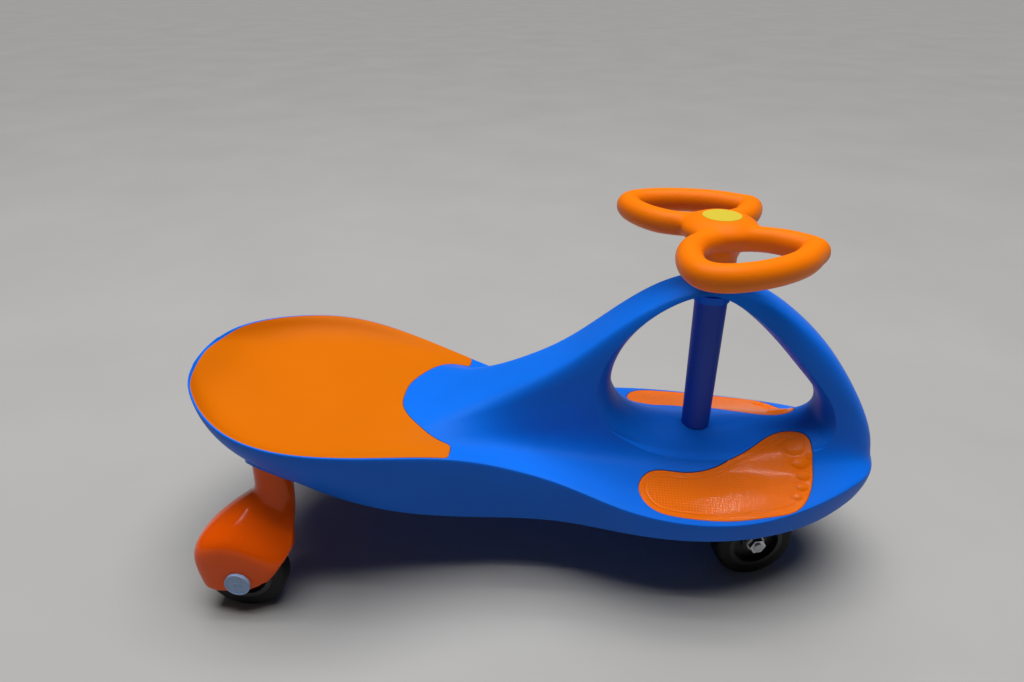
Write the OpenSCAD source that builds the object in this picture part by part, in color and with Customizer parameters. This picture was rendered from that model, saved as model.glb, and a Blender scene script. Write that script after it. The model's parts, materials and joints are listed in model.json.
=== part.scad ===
// Wiggle car: a moulded ride-on shell on four wheels, steered by a two-loop wheel on an upright column.
// Lengths are in millimetres. X runs forward, Y to the left and Z up from the floor under the middle.

/* [Body] */
// Length of the shell from its rear tip to its nose
body_length = 756; // [740:4:772]
// Width of the shell across the seat rim
body_width = 306; // [300:2:312]
// Height of the top of the arch above the floor
arch_height = 330; // [328:1:334]
// Thickness of the moulded wall
shell_wall = 3.5; // [3:0.1:4]
// Thickness of the seat and footrest inlays
inlay_thickness = 3; // [2.5:0.1:3.2]
// Width of the bare lip round the seat inlay
seat_lip = 5; // [4:0.5:7]

/* [Steering] */
// Turn of the steering from straight ahead, positive to the left
steer_angle = 14; // [-60:1:60]
// Width of the steering wheel across both loops
loop_span = 258; // [250:2:264]
// Length of each loop along the car
loop_length = 154; // [148:1:160]
// Diameter of the loop tube
grip_diameter = 26; // [24:0.5:28]
// Diameter of the plain cap in the middle of the steering wheel
cap_diameter = 38.5; // [36:0.5:41]
// Diameter of the column sleeve at its top
column_diameter = 34; // [32:0.5:35]
// Diameter of the steering shaft
shaft_diameter = 16; // [14:0.5:17]
// Height of the middle of the loop tube above the arch
wheel_rise = 53; // [51:0.5:56]

/* [Wheels] */
// Diameter of each tyre
wheel_diameter = 90; // [87:0.5:92]
// Width of each tyre
wheel_width = 25; // [23:0.5:26]
// Diameter of the wheel axles
axle_diameter = 10; // [9:0.5:10.5]
// Distance between the middles of the front tyres
front_track = 150; // [146:1:154]
// Distance of the front axle ahead of the steering shaft
front_lead = 49; // [46:1:52]

/* [Rear legs] */
// Width across the two hub caps beyond the width of the shell
rear_overhang = 38; // [34:1:44]
// Diameter of the leg stem in its socket
stem_diameter = 38; // [36:0.5:39]
// Diameter of each hub cap
hub_cap_diameter = 27; // [25:0.5:29]

/* [Hidden] */
$fn = 48;
// Overrun of a cut past the face that it opens
cut = 2;
// Gap between pieces that are fixed together
fit_gap = 0.1;
// Radial clearance of a running shaft
run_gap = 0.05;
// Gap between faces that turn past each other
side_gap = 0.4;
// Gap round an inlay in its pocket
inlay_gap = 0.3;

half_width = body_width / 2;
rear_span = body_width + rear_overhang;
steer_share = 0.2421;
steer_x = body_length * steer_share;
wheel_radius = wheel_diameter / 2;

// Stations of the shell from the rear tip to the nose, as shares of the length: middle, rim and bottom edge
station_x_shares = [
  [0, 0, 0.049],
  [0.005, 0, 0.049],
  [0.033, 0.024, 0.067],
  [0.093, 0.09, 0.112],
  [0.183, 0.183, 0.183],
  [0.295, 0.295, 0.295],
  [0.394, 0.394, 0.394],
  [0.48, 0.48, 0.48],
  [0.553, 0.553, 0.553],
  [0.626, 0.626, 0.626],
  [0.705, 0.705, 0.705],
  [0.798, 0.798, 0.798],
  [0.886, 0.886, 0.886],
  [0.95, 0.952, 0.95],
  [0.995, 1, 0.991],
  [1, 1, 0.991]
];
// Half profile at each station, as shares of the half width: top points, rim, skirt and bottom edge
station_y_shares = [
  [0, 0, 0, 0, 0, 0, 0, 0],
  [0.092, 0.163, 0.222, 0.255, 0.275, 0.294, 0.294, 0.17],
  [0.176, 0.32, 0.431, 0.51, 0.542, 0.575, 0.575, 0.392],
  [0.281, 0.503, 0.673, 0.804, 0.882, 0.915, 0.915, 0.588],
  [0.314, 0.575, 0.771, 0.915, 1.013, 1.046, 1.033, 0.732],
  [0.261, 0.484, 0.641, 0.758, 0.85, 0.882, 0.876, 0.732],
  [0.144, 0.301, 0.405, 0.51, 0.601, 0.68, 0.68, 0.641],
  [0.118, 0.248, 0.301, 0.366, 0.497, 0.614, 0.614, 0.575],
  [0.118, 0.229, 0.255, 0.301, 0.484, 0.647, 0.647, 0.614],
  [0.111, 0.216, 0.235, 0.288, 0.536, 0.81, 0.804, 0.771],
  [0.111, 0.209, 0.229, 0.275, 0.549, 0.876, 0.869, 0.837],
  [0.111, 0.209, 0.229, 0.275, 0.536, 0.843, 0.837, 0.797],
  [0.111, 0.203, 0.229, 0.268, 0.471, 0.68, 0.673, 0.647],
  [0.105, 0.196, 0.229, 0.268, 0.373, 0.484, 0.477, 0.444],
  [0.085, 0.157, 0.196, 0.222, 0.248, 0.275, 0.275, 0.248],
  [0, 0, 0, 0, 0, 0, 0, 0]
];
// Heights of the same points and of the middle, as shares of the arch height
station_z_shares = [
  [0.697, 0.697, 0.697, 0.697, 0.697, 0.697, 0.697, 0.63, 0.552],
  [0.694, 0.694, 0.694, 0.694, 0.694, 0.694, 0.694, 0.627, 0.545],
  [0.627, 0.627, 0.627, 0.636, 0.664, 0.685, 0.685, 0.597, 0.5],
  [0.576, 0.576, 0.576, 0.579, 0.6, 0.642, 0.642, 0.545, 0.445],
  [0.552, 0.552, 0.552, 0.555, 0.57, 0.612, 0.612, 0.521, 0.388],
  [0.536, 0.536, 0.536, 0.539, 0.545, 0.564, 0.564, 0.455, 0.303],
  [0.576, 0.576, 0.567, 0.539, 0.518, 0.515, 0.515, 0.412, 0.261],
  [0.658, 0.658, 0.652, 0.558, 0.479, 0.461, 0.455, 0.364, 0.245],
  [0.745, 0.745, 0.739, 0.612, 0.452, 0.421, 0.412, 0.339, 0.255],
  [0.897, 0.897, 0.891, 0.652, 0.436, 0.4, 0.382, 0.33, 0.279],
  [1.012, 1.012, 1.006, 0.727, 0.433, 0.394, 0.361, 0.318, 0.279],
  [1.006, 1.006, 0.994, 0.721, 0.433, 0.391, 0.352, 0.312, 0.276],
  [0.861, 0.861, 0.821, 0.667, 0.455, 0.4, 0.376, 0.327, 0.282],
  [0.688, 0.688, 0.642, 0.555, 0.452, 0.418, 0.4, 0.355, 0.306],
  [0.491, 0.491, 0.47, 0.442, 0.421, 0.406, 0.397, 0.355, 0.315],
  [0.394, 0.394, 0.394, 0.394, 0.394, 0.394, 0.394, 0.355, 0.318]
];
// Outline of the arch window: length share, height share, share of the flare and share of the sill drop
window_shares = [
  [0.742, 0.994, 1, 0],
  [0.791, 0.915, 1, 0],
  [0.837, 0.812, 1, 0],
  [0.877, 0.706, 1, 0],
  [0.911, 0.621, 1, 0],
  [0.917, 0.558, 0.8, 0.3],
  [0.878, 0.512, 0.25, 0.9],
  [0.824, 0.476, 0, 1],
  [0.758, 0.474, 0, 1],
  [0.692, 0.476, 0, 1],
  [0.651, 0.503, 0.25, 0.9],
  [0.62, 0.564, 0.8, 0.3],
  [0.607, 0.648, 1, 0],
  [0.618, 0.758, 1, 0],
  [0.644, 0.858, 1, 0],
  [0.689, 0.948, 1, 0]
];
// Outline of the bare lobe in front of the seat, as shares of the length and of the half width
lobe_shares = [
  [0.303, 0], [0.303, 0.144], [0.319, 0.301], [0.34, 0.431], [0.364, 0.536], [0.401, 0.562],
  [0.467, 0.562], [0.467, -0.562], [0.401, -0.562], [0.364, -0.536], [0.34, -0.431], [0.319, -0.301],
  [0.303, -0.144]
];
// Outline of a footrest, as shares of the length and of the half width
foot_shares = [
  [0.646, 0.601], [0.653, 0.458], [0.681, 0.399], [0.729, 0.431], [0.763, 0.379], [0.811, 0.183],
  [0.843, 0.092], [0.88, 0.065], [0.901, 0.176], [0.897, 0.405], [0.876, 0.614], [0.824, 0.732],
  [0.758, 0.797], [0.7, 0.81], [0.657, 0.739]
];
// Sections of a rear leg, as shares of the tyre radius: height, rear, front, inner and outer edge,
// then how square they are
leg_shares = [
  [3.733, 0.222, 1.067, 1.911, 1.067, 2],
  [2.933, 0.222, 1.067, 1.911, 1.067, 2],
  [2.756, 0.2, 1.089, 1.911, 1, 2.1],
  [2.533, -0.111, 1.111, 1.889, 0.711, 2.3],
  [2.333, -0.467, 1.156, 1.778, 0.4, 2.7],
  [2.133, -0.778, 1.178, 1.511, 0.178, 3.2],
  [1.911, -1, 1.178, 1.333, 0.089, 3.6],
  [1.667, -1.089, 1.178, 1.244, 0.078, 3.8],
  [1.333, -1.133, 1.133, 1.211, 0.078, 3.8],
  [1, -1.067, 1, 1.211, 0.078, 3.8],
  [0.622, -0.978, 0.822, 1.211, 0.078, 3.8]
];
// Sections of the hollow: length share, then height and half width of the middle of its roof and of its edge,
// then half width and height of its bottom, as shares of the arch height and of the half width
hollow_shares = [
  [0.09, 0.548, 0.392, 0.545, 0.536, 0.431, 0.476],
  [0.123, 0.536, 0.523, 0.533, 0.771, 0.601, 0.427],
  [0.183, 0.521, 0.588, 0.518, 0.876, 0.693, 0.388],
  [0.295, 0.506, 0.523, 0.503, 0.784, 0.693, 0.303],
  [0.394, 0.503, 0.222, 0.479, 0.614, 0.601, 0.261],
  [0.48, 0.461, 0.222, 0.427, 0.569, 0.536, 0.245],
  [0.553, 0.418, 0.288, 0.388, 0.595, 0.575, 0.255],
  [0.626, 0.382, 0.327, 0.355, 0.745, 0.732, 0.279],
  [0.705, 0.37, 0.484, 0.333, 0.817, 0.797, 0.279],
  [0.798, 0.367, 0.471, 0.324, 0.784, 0.758, 0.276],
  [0.886, 0.376, 0.366, 0.345, 0.621, 0.601, 0.282],
  [0.943, 0.376, 0.248, 0.367, 0.431, 0.405, 0.303],
  [0.975, 0.37, 0.157, 0.367, 0.288, 0.275, 0.312]
];

// Spline through rows of control points: knots, one level of blending, then the point at share t
function knot(i, degree, count) = max(0, min(count - degree, i - degree));
function blend(rows, u, degree, span, j, level) =
  level == 0 ? rows[j + span - degree] :
  let (low = knot(j + span - degree, degree, len(rows)))
  let (high = knot(j + 1 + span - level, degree, len(rows)))
  let (a = (u - low) / (high - low))
  (1 - a) * blend(rows, u, degree, span, j - 1, level - 1) + a * blend(rows, u, degree, span, j, level - 1);
function spline(rows, t, degree) =
  let (spans = len(rows) - degree)
  let (u = t * spans)
  blend(rows, u, degree, min(floor(u), spans - 1) + degree, degree, degree);
// Closed spline: the rows come round again
function ring(rows, t) =
  let (n = len(rows))
  let (s = floor(t * n))
  let (u = t * n - s)
  let (v = 1 - u)
  (v * v * v * rows[s % n] + (3 * u * u * u - 6 * u * u + 4) * rows[(s + 1) % n]
  + (3 * v * v * v - 6 * v * v + 4) * rows[(s + 2) % n] + u * u * u * rows[(s + 3) % n]) / 6;

// Skin over a row of closed loops; loops that close up at the ends need no caps
module loft(loops, capped = true) {
  n = len(loops[0]);
  rows = len(loops);
  half = (n - 1) / 2;
  sides = [for (i = [0 : rows - 2], j = [0 : n - 1], k = [0 : 1])
    let (a = i * n + j, b = i * n + (j + 1) % n)
    j < half ? (k == 0 ? [a, a + n, b] : [b, a + n, b + n]) : (k == 0 ? [a, b + n, b] : [a, a + n, b + n])];
  first = [for (j = [0 : n - 1]) j];
  last = [for (j = [n - 1 : -1 : 0]) (rows - 1) * n + j];
  faces = capped ? concat(sides, [first, last]) : sides;
  polyhedron(points = [for (loop = loops) each loop], faces = faces, convexity = 8);
}
// Skin over loops that come round to the first one again
module loft_ring(loops) {
  n = len(loops[0]);
  rows = len(loops);
  sides = [for (i = [0 : rows - 1], j = [0 : n - 1], k = [0 : 1])
    let (a = i * n + j, b = i * n + (j + 1) % n)
    let (c = (i + 1) % rows * n + j, d = (i + 1) % rows * n + (j + 1) % n)
    k == 0 ? [a, c, b] : [b, c, d]];
  polyhedron(points = [for (loop = loops) each loop], faces = sides, convexity = 8);
}
// Joins its children into one moulded form at their own size
module moulded() {
  resize([0, 0, 0]) children();
}
// Upright cylinder between two levels
module cylinder_between(d, low, high) {
  translate([0, 0, low]) cylinder(d = d, h = high - low);
}
// Places its children on both sides of the middle plane
module both_sides() {
  children();
  mirror([0, 1, 0]) children();
}

// Shell form
// Depth of the inlay pockets
pocket_depth = inlay_thickness + inlay_gap;
// Steps of the form: along the length, over half of the top and down the skirt
outer_steps = [36, 11, 2];
// Fore and aft place of the skirt's points between the rim and the bottom edge
skirt_shares = [0, 0.02, 1];
rim_row = 6;
edge_row = 8;
function station_x(i, j) =
  let (xs = station_x_shares[i], ys = station_y_shares[i])
  let (rim = ys[rim_row - 1])
  j > rim_row ? xs[1] + (xs[2] - xs[1]) * skirt_shares[j - rim_row] :
  j > 0 && rim > 0 ? xs[0] + (xs[1] - xs[0]) * ys[j - 1] / rim : xs[0];
function outer_station(i) = [for (j = [0 : edge_row]) [
  (station_x(i, j) - 1 / 2) * body_length,
  j == 0 ? 0 : station_y_shares[i][j - 1] * half_width,
  station_z_shares[i][j] * arch_height]];
outer_rows = [for (i = [0 : len(station_x_shares) - 1]) outer_station(i)];
function half_profile(row, steps) = concat(
  [for (k = [0 : steps[1]]) spline([for (j = [0 : rim_row]) row[j]], k / steps[1], 2)],
  [for (k = [1 : steps[2]]) spline([for (j = [rim_row : edge_row]) row[j]], k / steps[2], 2)]);
function profile(row, steps) = mirrored(half_profile(row, steps));
function mirrored(half) = concat([for (k = [len(half) - 1 : -1 : 1]) half[k]], [half[0]],
  [for (k = [1 : len(half) - 1]) [half[k][0], -half[k][1], half[k][2]]]);
module outer_form() {
  rows = outer_steps[0];
  loft([for (k = [0 : rows]) profile(spline(outer_rows, k / rows, 3), outer_steps)], capped = false);
}
// Half section of the hollow, which runs straight out below its bottom
hollow_steps = 24;
hollow_overrun = 14;
function hollow_section(s) =
  let (x = (s[0] - 1 / 2) * body_length)
  let (middle = s[1] * arch_height, edge = s[3] * arch_height, bottom = s[6] * arch_height)
  let (widths = [s[2] * half_width, s[4] * half_width, s[5] * half_width])
  [[x, 0, middle], [x, widths[0], middle], [x, widths[1], edge], [x, widths[2], bottom],
    [x, widths[2], bottom - hollow_overrun]];
module inner_form() {
  rows = [for (s = hollow_shares) hollow_section(s)];
  loft([for (k = [0 : hollow_steps]) mirrored(spline(rows, k / hollow_steps, 2))]);
}

// Arch window
// Half width over which the window edge is rounded, and the start of the rounding
flare_start = 8;
flare_width = 36;
flare_depth = 22;
// Fall of the sill from the middle to the end of the cut
sill_half = 62;
sill_drop = 17;
window_centre_shares = [0.757, 0.66];
window_centre = [(window_centre_shares[0] - 1 / 2) * body_length, window_centre_shares[1] * arch_height];
window_steps = 28;
window_plane_shares = [0, 0.29, 0.452, 0.565, 0.645, 0.71, 1];
window_planes = [for (s = window_plane_shares) s * sill_half];
function flare(y) =
  let (a = max(0, min(1, (y - flare_start) / flare_width)))
  flare_depth * (1 - sqrt(1 - a * a));
function drop(y) = sill_drop * y / sill_half * y / sill_half * (2 - y / sill_half);
function window_control(w, y) =
  let (p = [(w[0] - 1 / 2) * body_length, w[1] * arch_height])
  let (out = (p - window_centre) / norm(p - window_centre))
  p + out * flare(y) * w[2] - [0, drop(y) * w[3]];
function window_loop(y, side) =
  let (controls = [for (w = window_shares) window_control(w, y)])
  [for (k = [0 : window_steps - 1]) let (p = ring(controls, k / window_steps)) [p[0], y * side, p[1]]];
module window_form() {
  n = len(window_planes);
  right = [for (k = [n - 1 : -1 : 1]) window_loop(window_planes[k], -1)];
  left = [for (k = [0 : n - 1]) window_loop(window_planes[k], 1)];
  loft(concat(right, left));
}
// Shell with its window, before it is hollowed
module cut_form() {
  difference() {
    outer_form();
    window_form();
  }
}

// Outlines in plan
rim_steps = 64;
// Front end of the seat inlay's horns
horn_share = 0.389;
function rim_point(t) = spline([for (row = outer_rows) row[6]], t, 3);
module rim_outline() {
  right = [for (k = [0 : rim_steps]) rim_point(k / rim_steps)];
  left = [for (k = [rim_steps - 1 : -1 : 1]) [right[k][0], -right[k][1]]];
  polygon(concat([for (p = right) [p[0], p[1]]], left));
}
outline_steps = 40;
module outline(shares) {
  controls = [for (s = shares) [(s[0] - 1 / 2) * body_length, s[1] * half_width]];
  polygon([for (k = [0 : outline_steps - 1]) ring(controls, k / outline_steps)]);
}
horn_round = 4;
module seat_outline() {
  offset(r = horn_round) offset(delta = -horn_round) difference() {
    intersection() {
      offset(delta = -seat_lip) rim_outline();
      translate([-body_length, -body_width]) square([body_length * (1 / 2 + horn_share), 2 * body_width]);
    }
    outline(lobe_shares);
  }
}
// Levels between which the inlays lie
seat_level_shares = [0.45, 0.8];
seat_level = arch_height * seat_level_shares[0];
seat_top = arch_height * seat_level_shares[1];
foot_level_shares = [0.3, 0.56];
foot_level = arch_height * foot_level_shares[0];
foot_top = arch_height * foot_level_shares[1];
module seat_prism(grow) {
  translate([0, 0, seat_level]) linear_extrude(seat_top - seat_level)
    offset(delta = grow) seat_outline();
}
module foot_prism(grow) {
  translate([0, 0, foot_level]) linear_extrude(foot_top - foot_level)
    offset(delta = grow) outline(foot_shares);
}
module seat_pocket() {
  difference() {
    seat_prism(inlay_gap);
    translate([0, 0, -pocket_depth]) outer_form();
  }
}
module foot_pocket() {
  difference() {
    foot_prism(inlay_gap);
    translate([0, 0, -pocket_depth]) cut_form();
  }
}
module seat_layer() {
  difference() {
    intersection() {
      seat_prism(0);
      outer_form();
    }
    translate([0, 0, -inlay_thickness]) outer_form();
  }
}
module foot_layer() {
  difference() {
    intersection() {
      foot_prism(0);
      cut_form();
    }
    translate([0, 0, -inlay_thickness]) cut_form();
  }
}

// Levels of the steering
collar_share = 0.939;
collar_z = arch_height * collar_share;
collar_wall = 2;
collar_diameter = column_diameter + 2 * collar_wall;
column_foot_share = 0.9;
column_foot = column_diameter * column_foot_share;
bush_wall = 4;
bush_flange = 3;
bush_overhang = 4;
bush_diameter = shaft_diameter + 2 * bush_wall;
arch_seat_share = 0.985;
arch_seat_z = arch_height * arch_seat_share;
sill_share = 0.475;
sill_z = arch_height * sill_share;
boss_share = 0.315;
boss_z = arch_height * boss_share;
sill_boss_wall = 8;
boss_diameter = bush_diameter + 2 * sill_boss_wall;

// Rear leg and its socket
rear_axle_share = -0.3995;
axle_x = body_length * rear_axle_share;
leg_lead = 29;
stem_x = axle_x + leg_lead;
stem_inset = 67;
stem_y = rear_span / 2 - stem_inset;
socket_wall = 5.5;
socket_gap = 0.8;
socket_share = 0.506;
socket_top = arch_height * socket_share;
socket_roof = 6;
screw_diameter = 4;
screw_head = [8, 3];
screw_length = 22;
screw_pitch = 18;
hole_sides = 18;
screw_seat = socket_top + socket_roof;
// Bosses that reach into the wall: under the sill, under the arch and round each leg
boss_sink = 4;
collar_sink = 8;
socket_form_drop = pocket_depth + shell_wall / 2;
module bosses() {
  translate([steer_x, 0, boss_z]) cylinder(d = boss_diameter, h = sill_z - boss_sink - boss_z);
  translate([steer_x, 0, collar_z]) cylinder(d = collar_diameter, h = collar_sink);
  intersection() {
    both_sides() translate([stem_x, stem_y, 0])
      cylinder(d = stem_diameter + 2 * socket_wall, h = arch_height);
    translate([0, 0, -socket_form_drop]) outer_form();
  }
}
module shell_form() {
  difference() {
    cut_form();
    inner_form();
    seat_pocket();
    both_sides() foot_pocket();
  }
  bosses();
}
module shell_holes() {
  translate([steer_x, 0, boss_z - cut]) cylinder(d = bush_diameter + 2 * fit_gap, h = arch_height);
  translate([steer_x, 0, arch_seat_z]) cylinder(d = hub_stem + 4 * side_gap, h = arch_height);
  translate([steer_x, 0, sill_z]) cylinder(d = column_foot + 2 * inlay_gap, h = cut * 2);
  both_sides() {
    translate([stem_x, stem_y, 0]) cylinder(d = stem_diameter + 2 * socket_gap, h = socket_top);
    for (s = [-1, 1]) translate([stem_x + s * screw_pitch / 2, stem_y, 0]) {
      translate([0, 0, socket_top - cut])
        cylinder(d = screw_diameter + 2 * inlay_gap, h = arch_height, $fn = hole_sides);
      translate([0, 0, screw_seat]) cylinder(d = screw_head[0] + cut, h = arch_height, $fn = hole_sides);
    }
  }
}
module body_shell() {
  color([0.05, 0.27, 0.8]) moulded() difference() {
    shell_form();
    shell_holes();
  }
}
module seat_panel() {
  color([0.92, 0.42, 0.03]) moulded() seat_layer();
}
module footrest_left() {
  color([0.86, 0.36, 0.02]) moulded() foot_layer();
}
module footrest_right() {
  color([0.86, 0.36, 0.02]) mirror([0, 1, 0]) moulded() foot_layer();
}

// Steering group, turned about the column
module steered() {
  translate([steer_x, 0, 0]) rotate([0, 0, steer_angle]) children();
}
wheel_z = arch_height + wheel_rise;
cap_rise = 17;
cap_skirt = 3;
cap_z = wheel_z + cap_rise;
cap_thickness = 3;
hub_disc = [66, 24];
hub_stem = 40;
stem_bottom = arch_seat_z + bush_flange + side_gap;
shoulder_share = 0.66;
shoulder_z = stem_bottom + shoulder_share * wheel_rise;
web = 8;
neck_share = 0.75;
neck_diameter = neck_share * shaft_diameter;
wheel_washer_size = [24, 2];
nut_height = 8;
nut_share = 1.5;
nut_across = nut_share * neck_diameter;
nut_pocket = 30;
// Path of a loop from the outside round to the hub, as shares of its half length and of the reach of its tube
loop_shares = [[0, 0.978], [0.61, 0.831], [0.916, 0.636], [1.05, 0.603], [0.889, 0.448], [0.542, 0.228],
  [-0.134, 0.181], [-0.723, 0.308], [-0.998, 0.643], [-1.019, 0.936], [-0.663, 1.022]];
loop_steps = 36;
tube_steps = 14;
module steering_loop() {
  reach = [(loop_length - grip_diameter) / 2, (loop_span - grip_diameter) / 2];
  controls = [for (s = loop_shares) [s[0] * reach[0], s[1] * reach[1]]];
  loft_ring([for (k = [0 : loop_steps - 1])
    let (p = ring(controls, k / loop_steps))
    let (behind = ring(controls, (k + loop_steps - 1 / 2) % loop_steps / loop_steps))
    let (d = ring(controls, (k + 1 / 2) / loop_steps) - behind)
    let (out = [-d[1], d[0]] / norm(d) * grip_diameter / 2)
    [for (j = [0 : tube_steps - 1]) let (a = 360 * j / tube_steps)
      [p[0] + out[0] * cos(a), p[1] + out[1] * cos(a), wheel_z + grip_diameter / 2 * sin(a)]]]);
}
module steering_wheel() {
  color([1, 0.5, 0.06]) steered() difference() {
    moulded() union() {
      both_sides() steering_loop();
      translate([0, 0, cap_z - hub_disc[1] - run_gap]) cylinder(d = hub_disc[0], h = hub_disc[1]);
      translate([0, 0, stem_bottom]) cylinder(d = hub_stem, h = cap_z - cap_thickness - stem_bottom);
    }
    cylinder_between(shaft_diameter + 2 * fit_gap, stem_bottom - cut, shoulder_z);
    cylinder(d = neck_diameter + 2 * fit_gap, h = cap_z);
    translate([0, 0, shoulder_z + web]) cylinder(d = nut_pocket, h = wheel_rise);
    cylinder_between(cap_diameter + 2 * fit_gap, cap_z - cap_thickness - fit_gap, cap_z + cut);
  }
}
module wheel_cap() {
  color([0.93, 0.85, 0.2]) steered() translate([0, 0, cap_z - cap_thickness]) {
    cylinder(d = cap_diameter, h = cap_thickness);
    difference() {
      translate([0, 0, -cap_thickness]) cylinder(d = nut_pocket - cap_skirt / 2, h = cap_thickness);
      cylinder_between(nut_pocket - 2 * cap_skirt, -cap_thickness - cut, 0);
    }
  }
}
// A hexagon nut along Z from its seat
hex_sides = 6;
module hex_nut(across, bore, height) {
  difference() {
    cylinder(d = across / cos(30), h = height, $fn = hex_sides);
    translate([0, 0, -cut]) cylinder(d = bore, h = height + 2 * cut);
  }
}
module plain_washer(size, bore) {
  difference() {
    cylinder(d = size[0], h = size[1]);
    translate([0, 0, -cut]) cylinder(d = bore, h = size[1] + 2 * cut);
  }
}
module wheel_washer() {
  color([0.7, 0.7, 0.72]) steered() translate([0, 0, shoulder_z + web + run_gap])
    plain_washer(wheel_washer_size, neck_diameter + 2 * fit_gap);
}
module wheel_nut() {
  seat = shoulder_z + web + wheel_washer_size[1] + 2 * run_gap;
  color([0.72, 0.72, 0.75]) steered() translate([0, 0, seat])
    hex_nut(nut_across, neck_diameter + 2 * run_gap, nut_height);
}
// Bracket that carries the front axle
bracket_wall = 6;
thrust_overhang = 3;
thrust_thickness = 2;
thrust_washer_size = [bush_diameter + 2 * thrust_overhang, thrust_thickness];
bracket_top = boss_z - bush_flange - side_gap - thrust_washer_size[1] - run_gap;
// Heights of the bracket's floor and of its arm, as shares of its height above the axle
bracket_shares = [0.225, 0.675];
bracket_floor = wheel_radius + (bracket_top - wheel_radius) * bracket_shares[0];
bracket_tube = shaft_diameter + 2 * bracket_wall;
arm_top = wheel_radius + (bracket_top - wheel_radius) * bracket_shares[1];
arm_width = 40;
shaft_floor = 4;
shaft_seat = bracket_floor + shaft_floor;
pin_diameter = 6;
pin_z = (arm_top + bracket_floor) / 2;
axle_tube_wall = 6;
axle_tube = axle_diameter + 2 * axle_tube_wall;
hub_half = 8;
bush_rim = 1.5;
washer_size = [20, 1.5];
axle_tube_end = front_track / 2 - hub_half - bush_rim - washer_size[1] - side_gap - 2 * run_gap;
module steering_shaft() {
  shaft_end = shoulder_z + web + wheel_washer_size[1] + nut_height + cap_skirt;
  color([0.62, 0.63, 0.66]) steered() difference() {
    union() {
      translate([0, 0, shaft_seat]) cylinder(d = shaft_diameter, h = shoulder_z - shaft_seat);
      cylinder_between(neck_diameter, shaft_seat, shaft_end);
    }
    translate([0, 0, pin_z]) rotate([90, 0, 0])
      cylinder(d = pin_diameter + 2 * fit_gap, h = 2 * shaft_diameter, center = true);
  }
}
module thrust_washer() {
  color([0.85, 0.85, 0.82]) steered() translate([0, 0, bracket_top + run_gap])
    plain_washer(thrust_washer_size, shaft_diameter + 2 * fit_gap);
}
module steering_bracket() {
  color([0.1, 0.1, 0.11]) steered() difference() {
    union() {
      cylinder_between(bracket_tube, bracket_floor, bracket_top);
      rotate([90, 0, 0]) linear_extrude(arm_width, center = true) polygon([
        [-bracket_tube / 2, bracket_floor],
        [front_lead - axle_tube / 2, wheel_radius],
        [front_lead, wheel_radius],
        [front_lead, wheel_radius + axle_tube / 2],
        [bracket_tube / 2, arm_top],
        [-bracket_tube / 2, arm_top]]);
      translate([front_lead, 0, wheel_radius]) rotate([90, 0, 0])
        cylinder(d = axle_tube, h = 2 * axle_tube_end, center = true);
    }
    translate([0, 0, shaft_seat - run_gap]) cylinder(d = shaft_diameter + 2 * fit_gap, h = arch_height);
    translate([0, 0, pin_z]) rotate([90, 0, 0])
      cylinder(d = pin_diameter + 2 * fit_gap, h = 2 * arm_width, center = true);
    translate([front_lead, 0, wheel_radius]) rotate([90, 0, 0])
      cylinder(d = axle_diameter + 2 * fit_gap, h = front_track, center = true);
  }
}
module bracket_pin() {
  color([0.7, 0.7, 0.72]) steered() translate([0, 0, pin_z]) rotate([90, 0, 0])
    cylinder(d = pin_diameter, h = arm_width + pin_diameter, center = true);
}
axle_nut_height = 6;
axle_nut_share = 1.6;
axle_nut_across = axle_nut_share * axle_diameter;
front_stack = front_track / 2 + hub_half + bush_rim;
axle_half = front_stack + side_gap + washer_size[1] + axle_nut_height + cut;
// Places its children on the front axle, with their Z along it to the left
module on_front_axle() {
  steered() translate([front_lead, 0, wheel_radius]) rotate([-90, 0, 0]) children();
}
module both_ends() {
  children();
  mirror([0, 0, 1]) children();
}
module front_axle() {
  color([0.66, 0.67, 0.7]) on_front_axle() cylinder(d = axle_diameter, h = 2 * axle_half, center = true);
}
module front_washers() {
  color([0.75, 0.75, 0.77]) on_front_axle() both_ends() {
    translate([0, 0, axle_tube_end + run_gap]) plain_washer(washer_size, axle_diameter + 2 * fit_gap);
    translate([0, 0, front_stack + side_gap]) plain_washer(washer_size, axle_diameter + 2 * fit_gap);
  }
}
module front_nuts() {
  seat = front_stack + side_gap + washer_size[1] + run_gap;
  color([0.8, 0.8, 0.82]) on_front_axle() both_ends() translate([0, 0, seat])
    hex_nut(axle_nut_across, axle_diameter + 2 * run_gap, axle_nut_height);
}

// Road wheels, drawn along Z about their middle
tyre_share = 0.69;
rim_wall = 5;
bush_reach = 7.5;
wheel_bush_wall = 3;
wheel_bush = axle_diameter + 2 * wheel_bush_wall;
bush_lip = 2;
hub_web = 8;
boss_wall = 6;
tyre_round = 6;
tyre_sides = 72;
round_sides = 32;
module road_hub() {
  seat = tyre_share * wheel_radius;
  bore = wheel_bush / 2 + fit_gap;
  boss = wheel_bush / 2 + boss_wall;
  rim = seat - rim_wall;
  half = wheel_width / 2;
  web = hub_web / 2;
  rotate_extrude() polygon([
    [bore, -hub_half], [boss, -hub_half], [boss, -web], [rim, -web], [rim, -half], [seat, -half],
    [seat, half], [rim, half], [rim, web], [boss, web], [boss, hub_half], [bore, hub_half]]);
}
module road_tyre() {
  seat = tyre_share * wheel_radius + fit_gap;
  half = wheel_width / 2;
  rotate_extrude($fn = tyre_sides) difference() {
    hull() {
      translate([seat, -half]) square([cut, wheel_width]);
      for (s = [-1, 1]) translate([wheel_radius - tyre_round, s * (half - tyre_round)])
        circle(r = tyre_round, $fn = round_sides);
    }
    translate([seat - cut, -wheel_width]) square([cut, 2 * wheel_width]);
  }
}
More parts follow.
